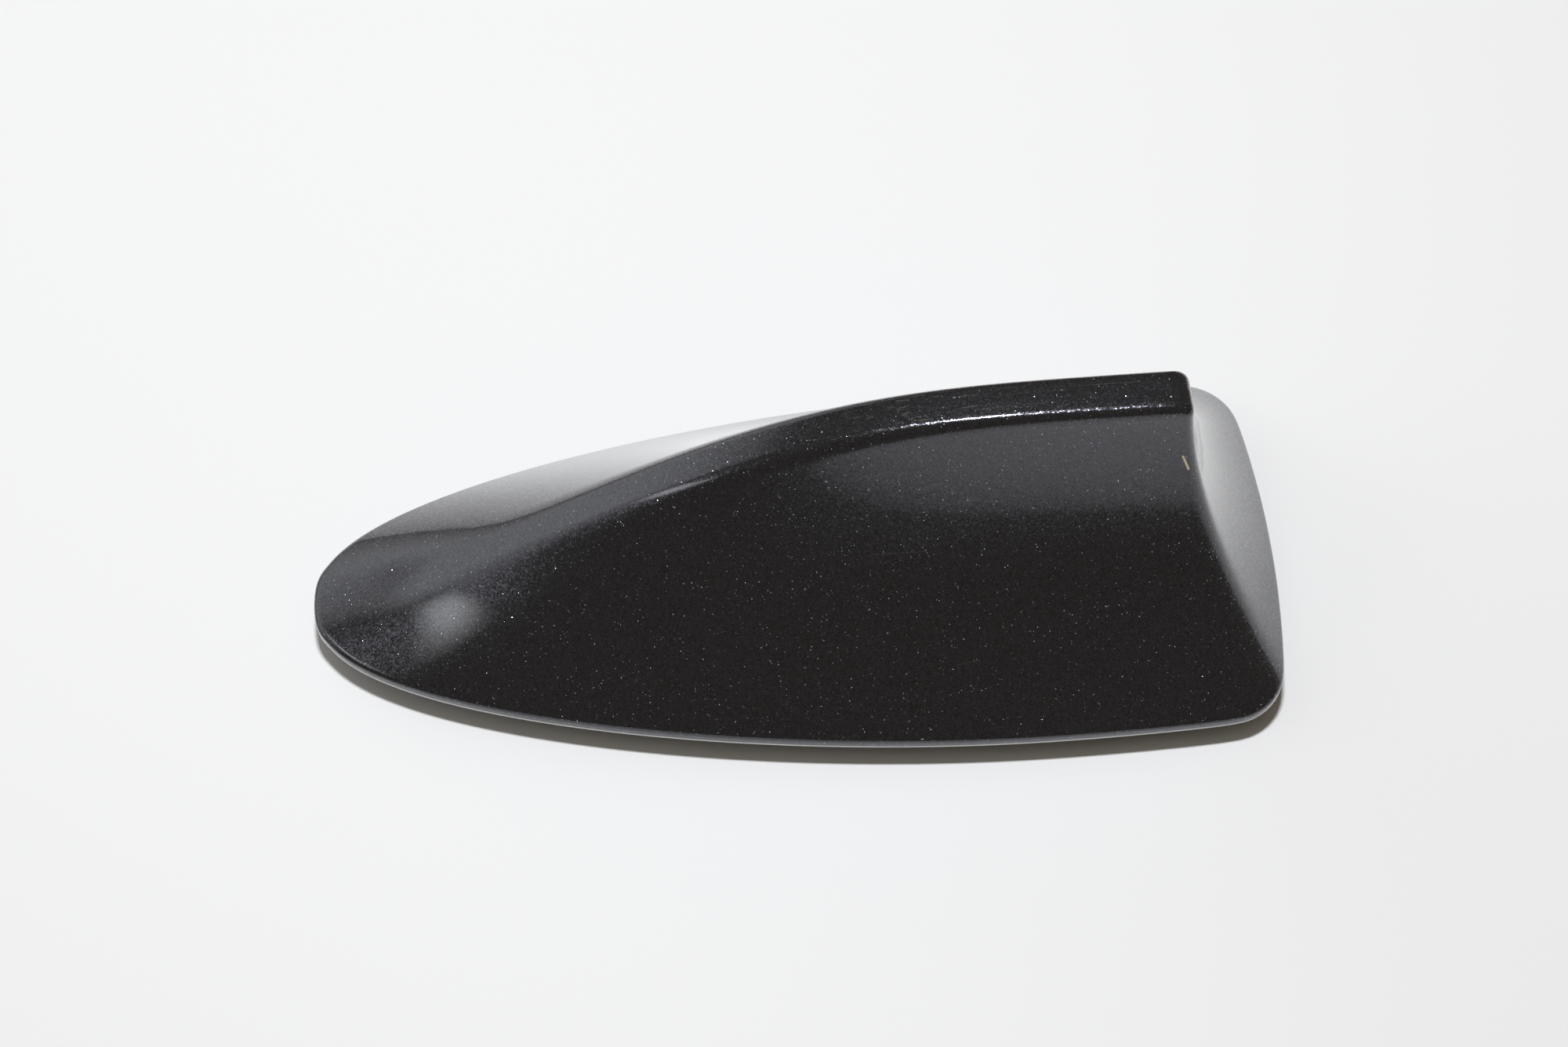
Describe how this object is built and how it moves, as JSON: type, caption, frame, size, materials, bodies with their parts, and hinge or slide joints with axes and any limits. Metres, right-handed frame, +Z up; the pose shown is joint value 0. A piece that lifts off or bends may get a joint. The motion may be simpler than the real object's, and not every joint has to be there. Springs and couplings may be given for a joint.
{
  "type": "roof antenna cover",
  "caption": "Hollow moulded fin-shaped cover for a roof antenna, with a long nose, concave flanks, a thin crest band and snap tabs under the rim.",
  "frame": {"origin": "middle of the plan box on the plane of the snap tabs' ends", "axes": "+X from the nose to the rear, +Z up through the fin, +Y to the side away from the camera"},
  "size_m": [0.16, 0.0684, 0.0523],
  "materials": {
    "painted_shell": "glossy black metallic paint with fine flakes under a clear coat"
  },
  "bodies": {
    "root": {"antenna_cover": "painted_shell"}
  },
  "joints": []
}
